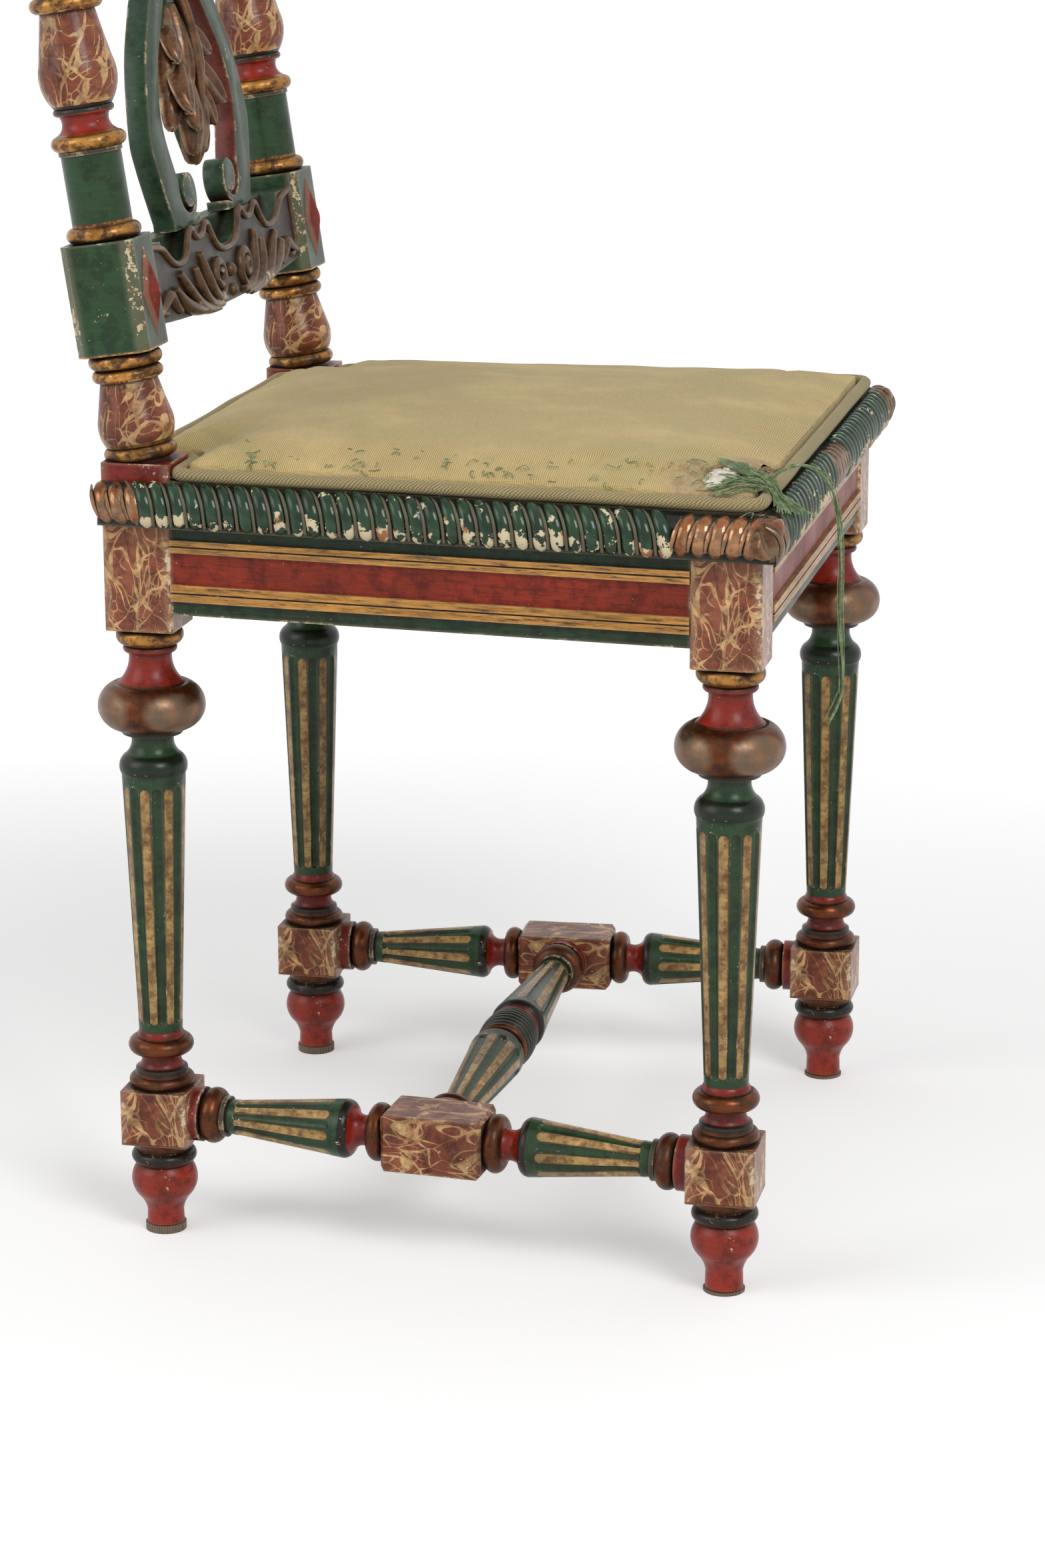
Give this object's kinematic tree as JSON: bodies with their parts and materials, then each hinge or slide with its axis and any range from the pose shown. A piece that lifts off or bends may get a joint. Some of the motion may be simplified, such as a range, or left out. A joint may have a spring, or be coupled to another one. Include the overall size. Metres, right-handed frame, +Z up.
{
  "type": "carved and painted side chair",
  "caption": "Polychrome carved and turned wooden side chair with marbled blocks, gilt rings, fluted legs, lyre splat, gadrooned seat edge and an olive padded seat",
  "frame": {"origin": "on the floor, under the middle of the whole chair", "axes": "+X to the sitter's left, +Y to the rear of the chair, +Z up"},
  "size_m": [0.4664, 0.5159, 1.0608],
  "materials": {
    "painted_wood": "turned wood painted in dark green, red and gilt with marbled blocks, antiqued and worn",
    "red_paint": "brick red paint with dark glaze and worn edges",
    "green_paint": "deep green paint with brown glaze and cream chips",
    "gilt_paint": "worn gilt over brown",
    "black_paint": "black-brown paint",
    "secondary_wood": "bare unfinished wood",
    "olive_twill": "olive twill, worn and torn at one corner",
    "olive_welt": "twill-covered welt cord",
    "jute": "natural jute",
    "felt": "brown felt",
    "thread": "pulled olive thread",
    "steel_screw": "plain steel"
  },
  "bodies": {
    "root": {"acanthus_drop": "gilt_paint", "back_rail": "red_paint", "corner_block_front_left": "secondary_wood", "corner_block_front_right": "secondary_wood", "corner_block_rear_left": "secondary_wood", "corner_block_rear_right": "secondary_wood", "corner_screws": "steel_screw", "crest_cartouche": "gilt_paint", "crest_lozenge_left": "red_paint", "crest_lozenge_right": "red_paint", "crest_rail": "painted_wood", "cushion": "olive_twill", "cushion_piping": "olive_welt", "edge_moulding_front": "green_paint", "edge_moulding_left": "green_paint", "edge_moulding_right": "green_paint", "felt_pad_front_left": "felt", "felt_pad_front_right": "felt", "felt_pad_rear_left": "felt", "felt_pad_rear_right": "felt", "fillet_strip_front": "black_paint", "fillet_strip_left": "black_paint", "fillet_strip_right": "black_paint", "finial_left": "painted_wood", "finial_right": "painted_wood", "front_leg_left": "painted_wood", "front_leg_right": "painted_wood", "front_rail": "red_paint", "hessian": "jute", "leaf_backing": "green_paint", "loose_thread": "thread", "lower_back_rail": "painted_wood", "lower_lozenge_left": "red_paint", "lower_lozenge_right": "red_paint", "lower_strip_front": "gilt_paint", "lower_strip_left": "gilt_paint", "lower_strip_right": "gilt_paint", "lyre_arm_left": "green_paint", "lyre_arm_right": "green_paint", "lyre_collar": "gilt_paint", "middle_stretcher": "painted_wood", "rear_post_left": "painted_wood", "rear_post_right": "painted_wood", "side_rail_left": "red_paint", "side_rail_right": "red_paint", "side_stretcher_left": "painted_wood", "side_stretcher_right": "painted_wood", "splat_dowels": "secondary_wood", "upper_strip_front": "gilt_paint", "upper_strip_left": "gilt_paint", "upper_strip_right": "gilt_paint", "webbing_cross": "jute", "webbing_long": "jute"}
  },
  "joints": []
}
